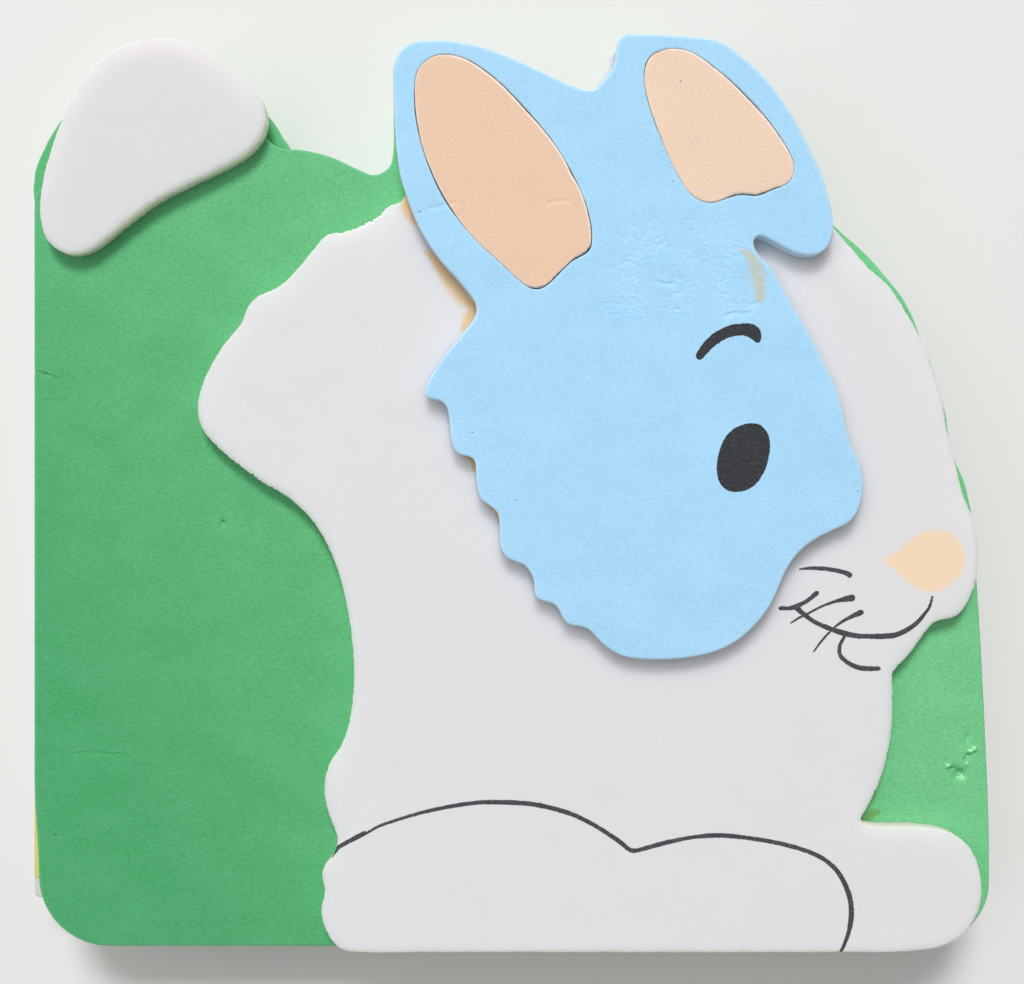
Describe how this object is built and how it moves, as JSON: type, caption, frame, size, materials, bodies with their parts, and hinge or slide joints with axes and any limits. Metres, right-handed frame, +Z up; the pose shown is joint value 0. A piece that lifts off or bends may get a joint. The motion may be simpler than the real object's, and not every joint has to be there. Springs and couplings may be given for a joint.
{
  "type": "board book",
  "caption": "Soft foam board book for a small child, die-cut in the outline of a seated rabbit, with raised foam layers on a front cover that opens.",
  "frame": {"origin": "under the middle of the box round the closed book, on the back cover's outer face", "axes": "+X across the closed book from the spine to the fore edge, +Y up the page, +Z up through the stack from the back cover to the front"},
  "size_m": [0.1532, 0.1416, 0.0245],
  "materials": {
    "green_foam": "matt green closed-cell foam with a fine grain",
    "white_foam": "matt white closed-cell foam",
    "blue_foam": "matt pale blue closed-cell foam with a fine grain",
    "peach_foam": "matt peach closed-cell foam"
  },
  "bodies": {
    "pages": {"pages": "green_foam"},
    "front_cover": {"front_cover": "green_foam", "rabbit_tail": "white_foam", "rabbit_body": "white_foam", "rabbit_head": "blue_foam", "left_ear_inlay": "peach_foam", "right_ear_inlay": "peach_foam"},
    "back_cover": {"back_cover": "green_foam"}
  },
  "joints": [
    {"name": "front_cover_hinge", "type": "hinge", "parent": "pages", "child": "front_cover", "pos_m": [-0.074, 0, 0.0155], "axis": [0, -1, 0], "range_deg": [0, 180]},
    {"name": "back_cover_hinge", "type": "hinge", "parent": "pages", "child": "back_cover", "pos_m": [-0.075, 0, 0.0028], "axis": [0, 1, 0], "range_deg": [0, 180]}
  ]
}
